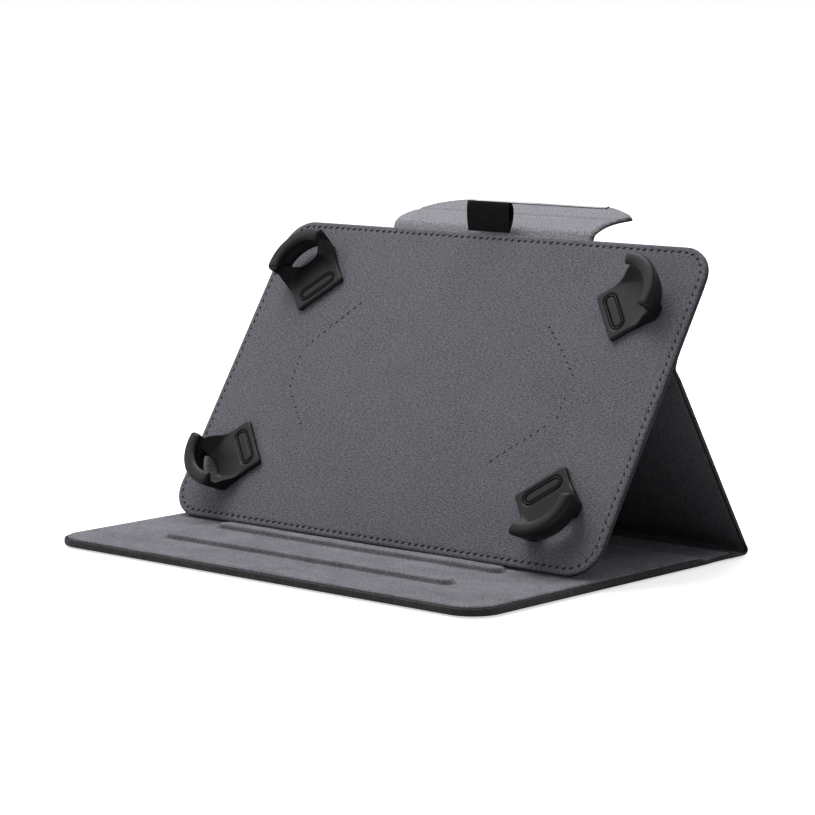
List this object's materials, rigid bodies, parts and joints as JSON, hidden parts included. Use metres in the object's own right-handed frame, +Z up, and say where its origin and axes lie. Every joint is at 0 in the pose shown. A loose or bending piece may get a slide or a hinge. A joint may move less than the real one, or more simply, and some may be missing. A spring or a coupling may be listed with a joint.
{
  "type": "tablet folio case",
  "caption": "Folding folio case and stand for a tablet, with a hinged leg, a lined plate with elastic corner clips, a pen loop and a magnetic closing flap.",
  "frame": {"origin": "centre of the base cover's underside, on the table", "axes": "+X to the right along the fold lines, +Y to the back, towards the spine, +Z up"},
  "size_m": [0.252, 0.2023, 0.1523],
  "materials": {
    "leather": "fine grain, satin black",
    "board": "pressed fibre board",
    "foam": "soft foam",
    "microsuede": "brushed microsuede, heathered grey",
    "steel": "plain",
    "closure_metal": "bright satin",
    "elastic_webbing": "ribbed elastic",
    "clip_rubber": "satin moulded"
  },
  "bodies": {
    "base_cover": {"base_leather_cover": "leather", "base_stiffener_board": "board", "base_foam_pad": "foam", "base_lining": "microsuede", "closure_keeper_strip": "steel", "stand_ridge_front": "microsuede", "stand_ridge_rear": "microsuede"},
    "spine": {"spine_leather": "leather", "spine_board": "board", "spine_lining": "microsuede"},
    "support_leg": {"leg_leather": "leather", "leg_board": "board", "leg_lining": "microsuede"},
    "tablet_plate": {"upper_back_leather": "leather", "upper_back_board": "board", "upper_back_lining": "microsuede", "flap_neck_lining": "microsuede", "plate_back_lining": "microsuede", "plate_board": "board", "plate_foam_layer": "foam", "plate_front_lining": "microsuede", "elastic_strap_top_left": "elastic_webbing", "elastic_strap_top_right": "elastic_webbing", "elastic_strap_bottom_left": "elastic_webbing", "elastic_strap_bottom_right": "elastic_webbing"},
    "closure_flap": {"flap_leather": "leather", "flap_stiffener": "board", "flap_lining": "microsuede"},
    "flap_tip": {"flap_tip_leather": "leather", "flap_tip_stiffener": "board", "flap_tip_lining": "microsuede", "closure_bar": "closure_metal"},
    "pen_loop": {"pen_loop": "elastic_webbing"},
    "strap_end_top_left": {"strap_end_top_left": "elastic_webbing"},
    "corner_clip_top_left": {"corner_clip_top_left": "clip_rubber"},
    "strap_end_top_right": {"strap_end_top_right": "elastic_webbing"},
    "corner_clip_top_right": {"corner_clip_top_right": "clip_rubber"},
    "strap_end_bottom_left": {"strap_end_bottom_left": "elastic_webbing"},
    "corner_clip_bottom_left": {"corner_clip_bottom_left": "clip_rubber"},
    "strap_end_bottom_right": {"strap_end_bottom_right": "elastic_webbing"},
    "corner_clip_bottom_right": {"corner_clip_bottom_right": "clip_rubber"}
  },
  "joints": [
    {"name": "base_fold", "type": "hinge", "parent": "base_cover", "child": "spine", "pos_m": [0, 0.08, 0], "axis": [1, 0, 0], "range_deg": [-160, 0]},
    {"name": "stand_fold", "type": "hinge", "parent": "spine", "child": "support_leg", "pos_m": [0, 0.10817, 0.001], "axis": [1, 0, 0], "range_deg": [-122.7, 0]},
    {"name": "middle_fold", "type": "hinge", "parent": "support_leg", "child": "tablet_plate", "pos_m": [0, 0.05363, 0.08781], "axis": [1, 0, 0], "range_deg": [0, 65.75]},
    {"name": "flap_fold", "type": "hinge", "parent": "tablet_plate", "child": "closure_flap", "pos_m": [-0.004, 0.08685, 0.13897], "axis": [1, 0, 0], "range_deg": [-35, 129.5]},
    {"name": "flap_tip_fold", "type": "hinge", "parent": "closure_flap", "child": "flap_tip", "pos_m": [-0.004, 0.10362, 0.14321], "axis": [1, 0, 0], "range_deg": [-30, 62]},
    {"name": "pen_loop_flop", "type": "hinge", "parent": "tablet_plate", "child": "pen_loop", "pos_m": [-0.0024, 0.07987, 0.13832], "axis": [1, 0, 0], "range_deg": [-26.5, 97.5]},
    {"name": "clip_swivel_top_left", "type": "hinge", "parent": "tablet_plate", "child": "strap_end_top_left", "pos_m": [-0.08973, 0.05971, 0.10801], "axis": [0, -0.8387, 0.5446], "range_deg": [-7, 7], "stiffness_Nm_per_rad": 0.02},
    {"name": "clip_stretch_top_left", "type": "slide", "parent": "strap_end_top_left", "child": "corner_clip_top_left", "axis": [-0.6884, 0.3951, 0.6083], "range_m": [0, 0.012], "stiffness_N_per_m": 300},
    {"name": "clip_swivel_top_right", "type": "hinge", "parent": "tablet_plate", "child": "strap_end_top_right", "pos_m": [0.087, 0.05981, 0.10816], "axis": [0, -0.8387, 0.5446], "range_deg": [-7, 7], "stiffness_Nm_per_rad": 0.02},
    {"name": "clip_stretch_top_right", "type": "slide", "parent": "strap_end_top_right", "child": "corner_clip_top_right", "axis": [0.7826, 0.339, 0.5221], "range_m": [0, 0.012], "stiffness_N_per_m": 300},
    {"name": "clip_swivel_bottom_left", "type": "hinge", "parent": "tablet_plate", "child": "strap_end_bottom_left", "pos_m": [-0.09269, 0.01302, 0.03611], "axis": [0, -0.8387, 0.5446], "range_deg": [-7, 7], "stiffness_Nm_per_rad": 0.02},
    {"name": "clip_stretch_bottom_left", "type": "slide", "parent": "strap_end_bottom_left", "child": "corner_clip_bottom_left", "axis": [-0.749, -0.3609, -0.5557], "range_m": [0, 0.012], "stiffness_N_per_m": 300},
    {"name": "clip_swivel_bottom_right", "type": "hinge", "parent": "tablet_plate", "child": "strap_end_bottom_right", "pos_m": [0.08606, 0.01246, 0.03526], "axis": [0, -0.8387, 0.5446], "range_deg": [-7, 7], "stiffness_Nm_per_rad": 0.02},
    {"name": "clip_stretch_bottom_right", "type": "slide", "parent": "strap_end_bottom_right", "child": "corner_clip_bottom_right", "axis": [0.6428, -0.4172, -0.6425], "range_m": [0, 0.012], "stiffness_N_per_m": 300}
  ],
  "couplings": [
    {"joint": "middle_fold", "follows": "stand_fold", "ratio": -0.53545},
    {"joint": "pen_loop_flop", "follows": "flap_fold", "ratio": 0.75}
  ]
}
